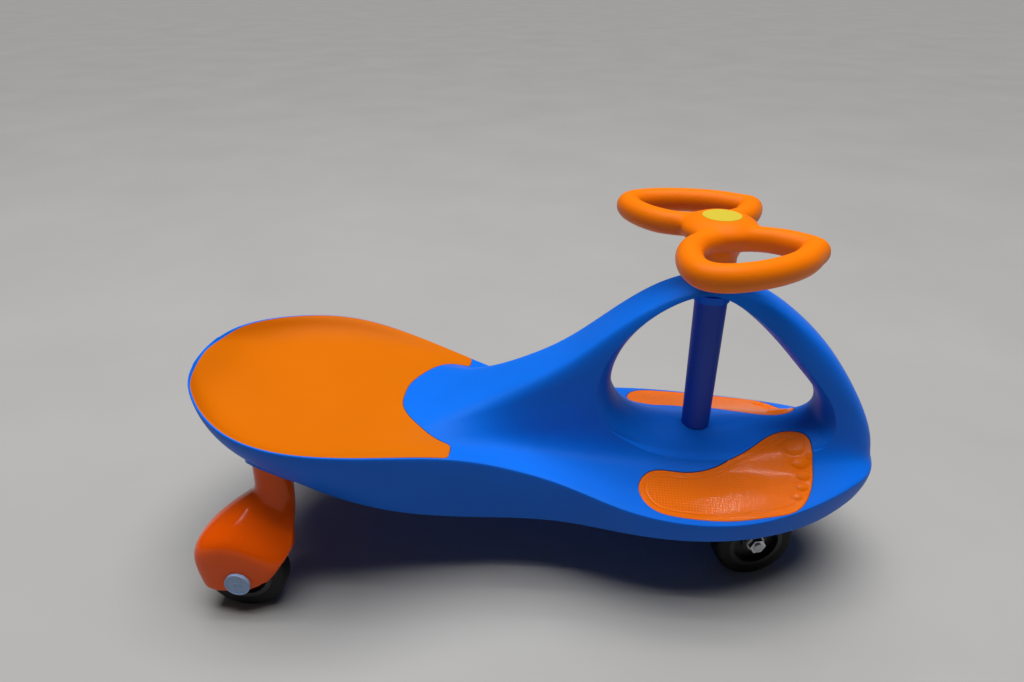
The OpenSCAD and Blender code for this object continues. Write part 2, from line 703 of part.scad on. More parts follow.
module road_bushes() {
  both_ends() difference() {
    union() {
      translate([0, 0, hub_half - bush_reach]) cylinder(d = wheel_bush, h = bush_reach);
      translate([0, 0, hub_half + run_gap]) cylinder(d = wheel_bush + 2 * bush_lip, h = bush_rim - run_gap);
      translate([0, 0, hub_half - cut]) cylinder(d = wheel_bush, h = cut + bush_rim);
    }
    cylinder(d = axle_diameter + 2 * run_gap, h = wheel_width);
  }
}
module on_front_left() {
  on_front_axle() translate([0, 0, front_track / 2]) children();
}
module on_front_right() {
  on_front_axle() translate([0, 0, -front_track / 2]) children();
}
module front_hub_left() {
  color([0.09, 0.09, 0.1]) on_front_left() road_hub();
}
module front_hub_right() {
  color([0.09, 0.09, 0.1]) on_front_right() road_hub();
}
module front_tyre_left() {
  color([0.05, 0.05, 0.055]) on_front_left() road_tyre();
}
module front_tyre_right() {
  color([0.05, 0.05, 0.055]) on_front_right() road_tyre();
}
module front_bush_left() {
  color([0.8, 0.8, 0.78]) on_front_left() road_bushes();
}
module front_bush_right() {
  color([0.8, 0.8, 0.78]) on_front_right() road_bushes();
}
// Column
module column_sleeve() {
  low = sill_z + run_gap;
  high = collar_z - fit_gap;
  color([0.07, 0.11, 0.36]) translate([steer_x, 0, 0]) difference() {
    translate([0, 0, low]) cylinder(d1 = column_foot, d2 = column_diameter, h = high - low);
    cylinder(d = bush_diameter + fit_gap, h = arch_height);
  }
}
module upper_bush() {
  color([0.85, 0.85, 0.82]) translate([steer_x, 0, 0]) difference() {
    union() {
      cylinder_between(bush_diameter, collar_z + run_gap, arch_seat_z + bush_flange);
      cylinder_between(bush_diameter + 2 * bush_overhang, arch_seat_z + run_gap, arch_seat_z + bush_flange);
    }
    cylinder(d = shaft_diameter + 2 * run_gap, h = arch_height + wheel_rise);
  }
}
module lower_bush() {
  color([0.85, 0.85, 0.82]) translate([steer_x, 0, 0]) difference() {
    union() {
      cylinder_between(bush_diameter, boss_z - bush_flange, sill_z - cut);
      cylinder_between(bush_diameter + 2 * bush_overhang, boss_z - bush_flange, boss_z - run_gap);
    }
    cylinder(d = shaft_diameter + 2 * run_gap, h = arch_height);
  }
}

// Rear legs
cap_plane = rear_span / 2;
hub_cap_thickness = 3.7;
leg_face = cap_plane - hub_cap_thickness;
tyre_inset = 15;
rear_wheel_y = cap_plane - tyre_inset - wheel_width / 2;
tyre_clearance = 3;
cheek_gap = 1.8;
cavity_in = rear_wheel_y - wheel_width / 2 - cheek_gap;
cavity_out = rear_wheel_y + wheel_width / 2 + cheek_gap;
cheek_boss = washer_size[0];
leg_steps = 18;
leg_points = 32;
bolt_head = [18, 4.5];
head_recess = [21, 5.2];
leg_depth = 54.5;
inner_cheek = cap_plane - leg_depth;
rear_nut_height = 8;
// Edge of the leg over the wheel in side view, as shares of the tyre radius
leg_trim_shares = [
  [-1.4, 0.8], [-0.62, 0.69], [0.16, 0.73], [0.71, 1.04],
  [1.38, 1.82], [1.8, 1.82], [1.8, -0.2], [-1.4, -0.2]
];
function power(a, n) = sign(a) * pow(abs(a), n);
function leg_loop(row) =
  let (middle = [row[1] + row[2], row[3] + row[4]] / 2)
  let (reach = [row[2] - row[1], row[4] - row[3]] / 2)
  [for (k = [0 : leg_points - 1]) let (a = -360 * k / leg_points)
    let (x = middle[0] + reach[0] * power(cos(a), 2 / row[5]))
    [axle_x + x, middle[1] + reach[1] * power(sin(a), 2 / row[5]), row[0]]];
leg_rows = [for (s = leg_shares) let (r = wheel_radius)
  [s[0] * r, s[1] * r, s[2] * r, cap_plane - s[3] * r, cap_plane - s[4] * r, s[5]]];
module on_rear_left() {
  translate([axle_x, rear_wheel_y, wheel_radius]) rotate([-90, 0, 0]) children();
}
// Cylinder along Y between two distances from the middle plane, on the left rear axle
module axle_cylinder(d, near, far) {
  translate([axle_x, near, wheel_radius]) rotate([-90, 0, 0]) cylinder(d = d, h = far - near);
}
module leg_cavity() {
  translate([axle_x, cavity_out, 0]) rotate([90, 0, 0]) linear_extrude(cavity_out - cavity_in) {
    reach = wheel_radius + tyre_clearance;
    translate([0, wheel_radius]) circle(r = reach, $fn = tyre_sides);
    translate([-reach, 0]) square([2 * reach, wheel_radius]);
  }
}
module leg_form() {
  difference() {
    union() {
      difference() {
        moulded() loft([for (k = [0 : leg_steps]) leg_loop(spline(leg_rows, k / leg_steps, 3))]);
        leg_cavity();
        translate([axle_x, rear_span, 0]) rotate([90, 0, 0]) linear_extrude(rear_span)
          polygon([for (s = leg_trim_shares) s * wheel_radius]);
      }
      axle_cylinder(cheek_boss, cavity_in - cut, rear_wheel_y - hub_half - bush_rim - side_gap);
      axle_cylinder(cheek_boss, rear_wheel_y + hub_half + bush_rim + side_gap, cavity_out + cut);
    }
    axle_cylinder(axle_diameter + 2 * fit_gap, inner_cheek - tyre_inset, cap_plane);
    axle_cylinder(hub_cap_diameter + cut / 2, leg_face, cap_plane);
    axle_cylinder(head_recess[0], leg_face - head_recess[1], cap_plane);
    axle_cylinder(washer_size[0] + cut, inner_cheek - tyre_inset, inner_cheek);
    translate([stem_x - stem_diameter, stem_y - stem_diameter, socket_top - inlay_gap])
      cube([2 * stem_diameter, 2 * stem_diameter, stem_diameter]);
    for (s = [-1, 1]) translate([stem_x + s * screw_pitch / 2, stem_y, screw_seat - screw_length - cut])
      cylinder(d = screw_diameter + 2 * run_gap, h = screw_length);
  }
}
module rear_leg_left() {
  color([0.82, 0.28, 0.01]) leg_form();
}
module rear_leg_right() {
  color([0.82, 0.28, 0.01]) mirror([0, 1, 0]) leg_form();
}
module axle_bolt() {
  head_seat = leg_face - head_recess[1];
  bolt_end = inner_cheek - washer_size[1] - rear_nut_height - cut;
  axle_cylinder(axle_diameter, bolt_end, head_seat + bolt_head[1]);
  axle_cylinder(bolt_head[0], head_seat + run_gap, head_seat + bolt_head[1]);
}
module rear_bolt_left() {
  color([0.66, 0.67, 0.7]) axle_bolt();
}
module rear_bolt_right() {
  color([0.66, 0.67, 0.7]) mirror([0, 1, 0]) axle_bolt();
}
module rear_nuts() {
  seat = inner_cheek - washer_size[1] - 2 * run_gap;
  color([0.75, 0.75, 0.77]) both_sides() translate([axle_x, seat, wheel_radius]) rotate([90, 0, 0])
    hex_nut(axle_nut_across, axle_diameter + 2 * run_gap, rear_nut_height);
}
module rear_washers() {
  color([0.75, 0.75, 0.77]) both_sides() translate([axle_x, inner_cheek - run_gap, wheel_radius])
    rotate([90, 0, 0]) plain_washer(washer_size, axle_diameter + 2 * fit_gap);
}
module rear_hub_left() {
  color([0.09, 0.09, 0.1]) on_rear_left() road_hub();
}
module rear_hub_right() {
  color([0.09, 0.09, 0.1]) mirror([0, 1, 0]) on_rear_left() road_hub();
}
module rear_tyre_left() {
  color([0.05, 0.05, 0.055]) on_rear_left() road_tyre();
}
module rear_tyre_right() {
  color([0.05, 0.05, 0.055]) mirror([0, 1, 0]) on_rear_left() road_tyre();
}
module rear_bush_left() {
  color([0.8, 0.8, 0.78]) on_rear_left() road_bushes();
}
module rear_bush_right() {
  color([0.8, 0.8, 0.78]) mirror([0, 1, 0]) on_rear_left() road_bushes();
}
// Hub caps, with a raised edge and four short ribs
cap_edge = 1.6;
cap_sink = 0.8;
cap_rib = [4.2, 1.6];
cap_spigot = [head_recess[0] - 2 * fit_gap, head_recess[0] - 4 * fit_gap - cut / 2];
module hub_cap_form() {
  difference() {
    union() {
      axle_cylinder(hub_cap_diameter, leg_face + run_gap, cap_plane);
      axle_cylinder(cap_spigot[0], leg_face - cut, leg_face + cut);
    }
    axle_cylinder(cap_spigot[1], leg_face - 2 * cut, leg_face + run_gap);
    difference() {
      axle_cylinder(hub_cap_diameter - 2 * cap_edge, cap_plane - cap_sink, cap_plane + cut);
      translate([axle_x, cap_plane - 2 * cap_sink, wheel_radius]) rotate([-90, 0, 0]) for (k = [0 : 3])
        rotate([0, 0, 45 + 90 * k]) translate([cap_rib[0] / 2, -cap_rib[1] / 2, 0])
          cube([cap_rib[0], cap_rib[1], 2 * cap_sink]);
    }
  }
}
module hub_cap_left() {
  color([0.5, 0.58, 0.7]) hub_cap_form();
}
module hub_cap_right() {
  color([0.5, 0.58, 0.7]) mirror([0, 1, 0]) hub_cap_form();
}
module leg_screws() {
  color([0.7, 0.7, 0.72]) both_sides() for (s = [-1, 1])
    translate([stem_x + s * screw_pitch / 2, stem_y, screw_seat]) {
      cylinder_between(screw_diameter, -screw_length, screw_head[1]);
      cylinder_between(screw_head[0], run_gap, screw_head[1]);
    }
}

body_shell();
seat_panel();
footrest_left();
footrest_right();
column_sleeve();
upper_bush();
lower_bush();
steering_wheel();
wheel_cap();
wheel_washer();
wheel_nut();
steering_shaft();
thrust_washer();
steering_bracket();
bracket_pin();
front_axle();
front_washers();
front_nuts();
front_hub_left();
front_hub_right();
front_tyre_left();
front_tyre_right();
front_bush_left();
front_bush_right();
rear_leg_left();
rear_leg_right();
leg_screws();
rear_bolt_left();
rear_bolt_right();
rear_nuts();
rear_washers();
rear_hub_left();
rear_hub_right();
rear_tyre_left();
rear_tyre_right();
rear_bush_left();
rear_bush_right();
hub_cap_left();
hub_cap_right();
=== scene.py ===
"""Looks of the wiggle car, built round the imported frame.

Tables are in millimetres and meshes in metres. +X is forward, +Y the rider's left and +Z up.
"""
import json
import math

import bmesh
import bpy
import numpy as np
from mathutils import Matrix, Vector
from mathutils.bvhtree import BVHTree
from mathutils.geometry import delaunay_2d_cdt


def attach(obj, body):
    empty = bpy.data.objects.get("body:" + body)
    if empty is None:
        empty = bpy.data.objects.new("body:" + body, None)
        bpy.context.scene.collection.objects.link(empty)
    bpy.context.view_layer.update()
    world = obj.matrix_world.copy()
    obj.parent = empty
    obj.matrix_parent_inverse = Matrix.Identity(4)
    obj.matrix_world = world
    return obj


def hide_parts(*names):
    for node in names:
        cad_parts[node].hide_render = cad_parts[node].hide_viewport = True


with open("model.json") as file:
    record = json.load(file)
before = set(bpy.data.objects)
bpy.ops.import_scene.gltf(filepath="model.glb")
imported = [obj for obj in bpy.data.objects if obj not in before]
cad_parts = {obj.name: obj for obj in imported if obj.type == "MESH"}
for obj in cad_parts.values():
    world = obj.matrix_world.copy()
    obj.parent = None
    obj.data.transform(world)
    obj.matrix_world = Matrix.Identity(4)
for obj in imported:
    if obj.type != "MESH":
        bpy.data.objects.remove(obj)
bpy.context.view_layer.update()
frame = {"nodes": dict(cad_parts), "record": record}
nodes = frame["nodes"]
MM = 0.001

# Stations of the shell from the tail to the nose: place of the middle, rim and bottom edge along
# the car, half profile from the middle to the bottom edge, and its heights
STATIONS = [
    (-378, -378, -341, (0, 0, 0, 0, 0, 0, 0, 0, 0),
     (230, 230, 230, 230, 230, 230, 230, 208, 182)),
    (-374, -378, -341, (0, 14, 25, 34, 39, 42, 45, 45, 26),
     (229, 229, 229, 229, 229, 229, 229, 207, 180)),
    (-353, -360, -327, (0, 27, 49, 66, 78, 83, 88, 88, 60),
     (207, 207, 207, 210, 219, 226, 226, 197, 165)),
    (-308, -310, -293, (0, 43, 77, 103, 123, 135, 140, 140, 90),
     (190, 190, 190, 191, 198, 212, 212, 180, 147)),
    (-240, -240, -240, (0, 48, 88, 118, 140, 155, 160, 158, 112),
     (182, 182, 182, 183, 188, 202, 202, 172, 128)),
    (-155, -155, -155, (0, 40, 74, 98, 116, 130, 135, 134, 112),
     (177, 177, 177, 178, 180, 186, 186, 150, 100)),
    (-80, -80, -80, (0, 22, 46, 62, 78, 92, 104, 104, 98),
     (190, 190, 187, 178, 171, 170, 170, 136, 86)),
    (-15, -15, -15, (0, 18, 38, 46, 56, 76, 94, 94, 88),
     (217, 217, 215, 184, 158, 152, 150, 120, 81)),
    (40, 40, 40, (0, 18, 35, 39, 46, 74, 99, 99, 94),
     (246, 246, 244, 202, 149, 139, 136, 112, 84)),
    (95, 95, 95, (0, 17, 33, 36, 44, 82, 124, 123, 118),
     (296, 296, 294, 215, 144, 132, 126, 109, 92)),
    (155, 155, 155, (0, 17, 32, 35, 42, 84, 134, 133, 128),
     (334, 334, 332, 240, 143, 130, 119, 105, 92)),
    (225, 225, 225, (0, 17, 32, 35, 42, 82, 129, 128, 122),
     (332, 332, 328, 238, 143, 129, 116, 103, 91)),
    (292, 292, 292, (0, 17, 31, 35, 41, 72, 104, 103, 99),
     (284, 284, 271, 220, 150, 132, 124, 108, 93)),
    (340, 342, 340, (0, 16, 30, 35, 41, 57, 74, 73, 68),
     (227, 227, 212, 183, 149, 138, 132, 117, 101)),
    (374, 378, 371, (0, 13, 24, 30, 34, 38, 42, 42, 38),
     (162, 162, 155, 146, 139, 134, 131, 117, 104)),
    (378, 378, 371, (0, 0, 0, 0, 0, 0, 0, 0, 0),
     (130, 130, 130, 130, 130, 130, 130, 117, 105)),
]
# Point of the profile that is the rim, and how far the points below it go from rim to bottom edge
RIM = 6
SKIRT_SHARES = (0.02, 1)
# Rounding of the rim: softness, reach to each side and step along the profile
RIM_SOFT, RIM_REACH, RIM_STEP = 2.0, 9.0, 0.4
RIM_TAPS = 10

# Window of the arch: length, height, share of the flare, share of the sill's fall
WINDOW = [
    (183, 328, 0.5, 0), (220, 302, 0.7, 0), (255, 268, 1, 0), (285, 233, 1, 0), (311, 205, 1, 0),
    (318, 171, 0.8, 0.3), (289, 161.5, 0.25, 0.9), (245, 157, 0, 1), (195, 156.5, 0, 1),
    (145, 157, 0, 1), (114, 166, 0.25, 0.9), (91, 186, 1, 0.3), (81, 214, 1.25, 0),
    (89, 250, 1.25, 0), (109, 283, 1, 0), (143, 313, 0.7, 0)]
WINDOW_MIDDLE = (194.3, 217.8)
WINDOW_HALF = 64
# The flare starts at this distance from the middle plane and is a quarter round of this width
FLARE_START, FLARE_WIDTH, FLARE = 7, 34, 24
SILL_HALF, SILL_FALL = 62, 17

# Hollow: length, height and half width of its roof's middle, height and half width of the roof's
# edge, half width and height of its bottom
HOLLOW = [
    (-310, 181, 60, 180, 82, 66, 157), (-285, 177, 80, 176, 118, 92, 141),
    (-240, 172, 90, 171, 134, 106, 128), (-155, 167, 80, 166, 120, 106, 100),
    (-80, 166, 34, 158, 94, 92, 86), (-15, 152, 34, 141, 87, 82, 81),
    (40, 138, 44, 128, 91, 88, 84), (95, 126, 50, 117, 114, 112, 92),
    (155, 122, 74, 110, 125, 122, 92), (225, 121, 72, 107, 120, 116, 91),
    (292, 124, 56, 114, 95, 92, 93), (335, 124, 38, 121, 66, 62, 100),
    (359, 122, 24, 121, 44, 42, 103)]
HOLLOW_BELOW = 14

# Outlines in plan of the bare lobe in front of the seat and of the left footrest
LOBE = [
    (-149, 0), (-149, 22), (-137, 46), (-121, 66), (-103, 82), (-75, 86), (-25, 86),
    (-25, -86), (-75, -86), (-103, -82), (-121, -66), (-137, -46), (-149, -22)]
FOOT = [
    (124.5, 121.5), (108, 89.5), (128, 61), (162, 69.5), (190.5, 63), (219, 49.5), (244, 34),
    (268.5, 13.5), (303.5, 18.5), (302.5, 55), (295.5, 82.5), (278, 110), (246, 115.5),
    (217.5, 122.5), (186, 125.5), (156.5, 124.5)]
# Toes of the left footrest: middle, half length, half width, turn
TOES = [
    (284, 36, 12, 9, 7), (288, 53.5, 9.4, 5.2, -2), (289, 66.5, 7.6, 4.7, -3),
    (285, 79, 7, 4.6, -4), (277.5, 90.5, 6.2, 4.3, -6)]
TOE_RISE, TOE_GROOVE = 1.6, 0.7
INNER_LINE, INNER_DEPTH = 7, 0.6
# Seat panel: front end of its horns, corner there, shell's lip, how far the panel rolls over it
HORN_X, HORN_CORNER, SEAT_LIP, PANEL_ROLL = -84, 1.5, 5, 3.2
# Inlays: thickness, depth of their beds, gap round them, level that they are looked down on from
LAYER, BED_DEPTH, BED_GAP = 3, 3.3, 0.45
SEAT_TOP, DECK_TOP, LEVEL_STEP = 300, 186, 12
SEAT_CLEAR, DECK_CLEAR = 30, 3

# Steering: place of the column and its turn at rest
STEER_X, STEER_ANGLE = 183.03, math.radians(14)
# Cylinders on the column as radius, lowest and highest level: bosses under the sill and the arch,
# the bore, the seat of the upper bush and the recess of the sleeve
COLUMN_BOSSES = [(20, 104, 152.5), (19, 309.9, 318)]
COLUMN_CUTS = [(12.1, 90, 400), (20.8, 325.05, 400), (15.6, 156.75, 170)]
# Path of a steering loop round its hole, as shares of its half length and reach
LOOP = [
    (0, 0.978), (0.61, 0.831), (0.916, 0.636), (1.05, 0.603), (0.889, 0.448), (0.542, 0.228),
    (-0.134, 0.181), (-0.723, 0.308), (-0.998, 0.643), (-1.019, 0.936), (-0.663, 1.022)]
LOOP_REACH = (64, 116)
LOOP_RADIUS, LOOP_Z = 13, 383
# Hub of the steering wheel, radius and height, and the seats of its cap and shaft
WHEEL_HUB = [
    (20, 328.5), (20, 358), (23, 366), (29, 372), (36, 378), (40, 385), (38, 391), (31, 396.5),
    (25, 399), (22, 399.8), (10, 399.8)]
WHEEL_CUTS = [(19.45, 396.9, 420), (8.1, 300, 366)]
# The hub is blended into the loops from one radius to the other, over these widths at each end
BLEND_FROM, BLEND_TO, BLEND_IN, BLEND_OUT = 22, 66, 5, 18

# Sections of the left rear leg: height, rear and front edge, inner and outer edge, squareness
LEG = [
    (168, -292, -254, 86, 124, 2), (132, -292, -254, 86, 124, 2), (124, -293, -253, 86, 127, 2.1),
    (114, -307, -252, 87, 140, 2.3), (105, -323, -250, 92, 154, 2.7),
    (96, -337, -249, 104, 164, 3.2), (86, -347, -249, 112, 168, 3.6),
    (75, -351, -249, 116, 168.5, 3.8), (60, -353, -251, 117.5, 168.5, 3.8),
    (45, -350, -257, 117.5, 168.5, 3.8), (28, -346, -265, 117.5, 168.5, 3.8)]
# Arch of the leg's shoulder: its middle, and how far it falls at half its span
ARCH_X, ARCH_FALL, ARCH_HALF = -313, 20, 46
# Rear axle, bottom edge of the leg from it, wheel well and its sides
AXLE = (-302.02, 45)
LEG_TRIM = [
    (-63, 36), (-28, 31), (7, 33), (32, 47), (62, 82), (81, 82), (81, -9), (-63, -9)]
TRIM_SIDES = (60, 200)
WELL_RADIUS, WELL_BOTTOM, WELL_SIDES = 48, -20, (130.2, 158.8)
# Cylinders on the rear axle as radius, inner and outer end: cheeks, then the bolt's hole, the
# flat under the hub cap, the recess of the bolt's head and the flat under the nut's washer
FACE_Y = 168.3
CHEEKS = [(10, 128.2, 134.6), (10, 154.4, 161)]
AXLE_CUTS = [(5.1, 100, 180), (14, FACE_Y, 180), (10.5, FACE_Y - 5.2, 180), (11, 100, 117.5)]
# Leg's stem in the shell: place, then radius, lowest and highest level of its boss and socket
STEM = (-273.02, 105)
STEM_BOSS, STEM_SOCKET = (24.5, 60, 240), (19.8, 40, 167)
# The boss ends on a tilted copy of the shell's form, below the seat's bed: slope and shift in m
BOSS_SLOPE, BOSS_SHIFT = 0.08, 0.0187

# Steps of round forms, and of the outlines that are sampled from splines
LATHE_STEPS, OUTLINE_STEPS = 96, 300
# Distances in metres under which points are welded and slivers dropped
WELD, SLIVER = 1e-6, 1e-7
SOFTEN = 0.5


# Splines
def basis(count, degree, t):
    """Weights of a clamped spline's points at the shares t."""
    t = np.asarray(t, float)
    spans = count - degree
    knots = np.clip(np.arange(count + degree + 1) - degree, 0, spans).astype(float)
    u = t * spans
    w = np.zeros((len(t), count + degree))
    w[np.arange(len(t)), np.minimum(np.floor(u).astype(int), spans - 1) + degree] = 1
    for d in range(1, degree + 1):
        new = np.zeros_like(w)
        for i in range(count + degree - d):
            left, right = knots[i + d] - knots[i], knots[i + d + 1] - knots[i + 1]
            if left > 0:
                new[:, i] += (u - knots[i]) / left * w[:, i]
            if right > 0:
                new[:, i] += (knots[i + d + 1] - u) / right * w[:, i + 1]
        w = new
    return w[:, :count]


def ring(points, t):
    """Closed cubic spline near a ring of points, at the shares t."""
    p, t = np.asarray(points, float), np.asarray(t, float)
    s = np.floor(t * len(p)).astype(int)
    u = (t * len(p) - s)[:, None]
    v = 1 - u
    near = [p[(s + k) % len(p)] for k in range(4)]
    return (v**3 * near[0] + (3 * u**3 - 6 * u**2 + 4) * near[1]
            + (3 * v**3 - 6 * v**2 + 4) * near[2] + u**3 * near[3]) / 6


def shares(count):
    """Even shares of a closed curve."""
    return np.linspace(0, 1, count, endpoint=False)


def circle(count):
    """Even angles of a whole turn."""
    return np.linspace(0, 2 * math.pi, count, endpoint=False)


# Meshes
def make(name, verts, faces):
    """Object from points in millimetres, welded, with its faces outwards."""
    mesh = bpy.data.meshes.new(name)
    points = [tuple(p) for p in np.asarray(verts, float) * MM]
    mesh.from_pydata(points, [], [list(map(int, f)) for f in faces])
    bm = bmesh.new()
    bm.from_mesh(mesh)
    bmesh.ops.remove_doubles(bm, verts=bm.verts, dist=WELD)
    bmesh.ops.dissolve_degenerate(bm, edges=bm.edges, dist=SLIVER)
    bmesh.ops.recalc_face_normals(bm, faces=bm.faces)
    bm.to_mesh(mesh)
    bm.free()
    obj = bpy.data.objects.new(name, mesh)
    bpy.context.collection.objects.link(obj)
    return obj


def loft(name, loops, capped=True, closed=False):
    """Skin over closed loops of points."""
    loops = np.asarray(loops, float)
    rows, n = loops.shape[:2]
    faces = []
    for i in range(rows if closed else rows - 1):
        a, b = i * n, (i + 1) % rows * n
        faces += [(a + j, a + (j + 1) % n, b + (j + 1) % n, b + j) for j in range(n)]
    if capped and not closed:
        faces += [list(range(n)), [(rows - 1) * n + j for j in range(n)]]
    return make(name, loops.reshape(-1, 3), faces)


def lathe(name, profile):
    """Solid of revolution about Z from (radius, height) points."""
    a = circle(LATHE_STEPS)
    return loft(name, [np.c_[r * np.cos(a), r * np.sin(a), np.full(len(a), z)] for r, z in profile])


def rod(radius, low, high):
    """Cylinder about Z between two levels."""
    return lathe("rod", [(radius, low), (radius, high)])


def slab(name, outline, sides):
    """Solid across the car from an outline in length and height."""
    return loft(name, [np.c_[outline[:, 0], np.full(len(outline), y), outline[:, 1]]
                       for y in sides])


def apply(obj):
    """Bakes an object's modifiers into its mesh."""
    bpy.context.view_layer.update()
    evaluated = obj.evaluated_get(bpy.context.evaluated_depsgraph_get())
    mesh = bpy.data.meshes.new_from_object(evaluated)
    obj.modifiers.clear()
    obj.data = mesh
    return obj


def combine(obj, other, operation="DIFFERENCE"):
    """Cuts other from obj, or joins it, and drops other."""
    m = obj.modifiers.new("combine", "BOOLEAN")
    m.operation, m.object, m.solver = operation, other, "MANIFOLD"
    apply(obj)
    bpy.data.objects.remove(other)
    return obj


def moved(obj, matrix):
    """The same object with its points moved."""
    obj.data.transform(matrix)
    return obj


def at(x, y, z):
    """Move to a place in millimetres."""
    return Matrix.Translation((x * MM, y * MM, z * MM))


MIRROR = Matrix.Scale(-1, 4, (0, 1, 0))
COLUMN = at(STEER_X, 0, 0)
REAR_AXLE = at(AXLE[0], 0, AXLE[1]) @ Matrix.Rotation(-math.pi / 2, 4, "X")


def mirrored(obj, name):
    """A copy on the other side of the middle plane."""
    other = bpy.data.objects.new(name, obj.data.copy())
    bpy.context.collection.objects.link(other)
    other.data.transform(MIRROR)
    other.data.flip_normals()
    return other


def smooth(obj, angle=35):
    """Smooth shading, with edges kept that turn by more than the angle."""
    obj.data.shade_smooth()
    obj.data.set_sharp_from_angle(angle=math.radians(angle))
    return obj


def soften(obj, voxel, rounds):
    """Remeshes a rigid moulding evenly and rounds its edges."""
    m = obj.modifiers.new("remesh", "REMESH")
    m.mode, m.voxel_size, m.use_smooth_shade = "VOXEL", voxel * MM, True
    s = obj.modifiers.new("soften", "SMOOTH")
    s.factor, s.iterations = SOFTEN, rounds
    return apply(obj)


# Shell
def control_points():
    """Control points of the shell's skin, one half profile for each station."""
    rows = []
    for middle, rim, edge, ys, zs in STATIONS:
        across = [middle + (rim - middle) * (y / ys[RIM] if ys[RIM] else 0) for y in ys[:RIM + 1]]
        skirt = [rim + (edge - rim) * share for share in SKIRT_SHARES]
        rows.append(np.c_[across + skirt, ys, zs])
    return np.array(rows, float)


CONTROLS = control_points()


def rounded_rim(half, rim):
    """Rounds the corner of each half profile at its rim."""
    out = half.copy()
    kernel = np.exp(-0.5 * (np.arange(-RIM_TAPS, RIM_TAPS + 1) * RIM_STEP / RIM_SOFT) ** 2)
    kernel /= kernel.sum()
    for i, row in enumerate(half):
        s = np.r_[0, np.cumsum(np.linalg.norm(np.diff(row, axis=0), axis=1))]
        if s[rim] < 4 * RIM_REACH:
            continue
        grid = np.arange(s[rim] - RIM_REACH - 4 * RIM_SOFT, s[rim] + RIM_REACH + 4 * RIM_SOFT,
                         RIM_STEP)
        near = np.abs(s - s[rim]) < RIM_REACH
        soft = []
        for c in range(3):
            fine = np.pad(np.interp(grid, s, row[:, c]), RIM_TAPS, "edge")
            soft.append(np.interp(s[near], grid, np.convolve(fine, kernel, "valid")))
        w = np.clip(1.6 * (1 - np.abs(s[near] - s[rim]) / RIM_REACH), 0, 1)[:, None]
        out[i, near] = row[near] * (1 - w) + w * np.stack(soft, 1)
    return out


def both_sides(half):
    """Whole profiles from half ones that start at the middle."""
    return np.concatenate([half[:, ::-1], half[:, 1:] * (1, -1, 1)], 1)


def outer_form(name, fine=True):
    """The shell's form without its openings; the coarse one only trims the bosses."""
    length, flat, bend, turn, fall = (190, 40, 14, 10, 16) if fine else (70, 16, 5, 3, 5)
    s = np.linspace(0, 1, length + 1)
    # closer together at both ends
    t = 0.55 * s + 0.45 * (0.5 - 0.5 * np.cos(math.pi * s))
    rows = np.tensordot(basis(len(CONTROLS), 3, t), CONTROLS, 1)
    # closer together on both sides of the rim
    top_t = np.r_[np.linspace(0, 0.8, flat), np.linspace(0.8, 1, bend)[1:]]
    skirt_t = np.r_[np.linspace(0, 0.2, turn), np.linspace(0.2, 1, fall)[1:]]
    top = np.einsum("kj,ijc->ikc", basis(RIM + 1, 2, top_t), rows[:, :RIM + 1])
    skirt = np.einsum("kj,ijc->ikc", basis(3, 2, skirt_t), rows[:, RIM:])
    half = np.concatenate([top, skirt[:, 1:]], 1)
    if fine:
        half = rounded_rim(half, len(top_t) - 1)
    return loft(name, both_sides(half), capped=False)


def window_form():
    """Cutter for the arch's window, which flares on both sides."""
    t = shares(150)
    middle = np.array(WINDOW_MIDDLE)
    loops = []
    for y in np.r_[-np.linspace(WINDOW_HALF, 0.5, 46), np.linspace(0.5, WINDOW_HALF, 46)]:
        a = min(1, max(0, (abs(y) - FLARE_START) / FLARE_WIDTH))
        flare = FLARE * (1 - math.sqrt(1 - a * a))
        d = abs(y) / SILL_HALF
        rows = []
        for x, z, flare_share, fall_share in WINDOW:
            p = np.array((x, z), float)
            out = (p - middle) / np.linalg.norm(p - middle)
            fall = SILL_FALL * d * d * (2 - d) * fall_share
            rows.append(p + out * flare * flare_share - np.array((0, fall)))
        p = ring(rows, t)
        loops.append(np.c_[p[:, 0], np.full(len(t), y), p[:, 1]])
    return loft("window", loops)


def hollow_form():
    """Cutter for the hollow, which is open below."""
    rows = np.array([[(x, 0, za), (x, ya, za), (x, yr, zr), (x, yb, zb), (x, yb, zb - HOLLOW_BELOW)]
                     for x, za, ya, zr, yr, yb, zb in HOLLOW], float)
    half = np.tensordot(basis(len(rows), 2, np.linspace(0, 1, 49)), rows, 1)
    return loft("hollow", both_sides(half))


# Inlays
def tree_of(obj):
    """Tree for ray casts on an object's mesh."""
    bm = bmesh.new()
    bm.from_mesh(obj.data)
    tree = BVHTree.FromBMesh(bm)
    bm.free()
    return tree


def heights(tree, points, start):
    """Height of the surface under each plan point, looking down from the start level or lower."""
    out = []
    for x, y in points:
        for step in range(4):
            z = start - LEVEL_STEP * step
            hit = tree.ray_cast(Vector((x * MM, y * MM, z * MM)), Vector((0, 0, -1)))
            if hit[0] is not None and hit[1].z > 0.05:
                break
        out.append(hit[0].z / MM if hit[0] is not None else np.nan)
    out = np.array(out)
    bad = np.isnan(out)
    if bad.any():
        out[bad] = np.interp(np.flatnonzero(bad), np.flatnonzero(~bad), out[~bad])
    return out


def offset(outline, d):
    """Outline moved outwards by d along its normals."""
    t = np.roll(outline, -1, 0) - np.roll(outline, 1, 0)
    n = np.c_[t[:, 1], -t[:, 0]] / np.linalg.norm(t, axis=1)[:, None]
    x, y = outline[:, 0], outline[:, 1]
    area = np.sum(x * np.roll(y, -1) - np.roll(x, -1) * y)
    return outline + n * d * (1 if area > 0 else -1)


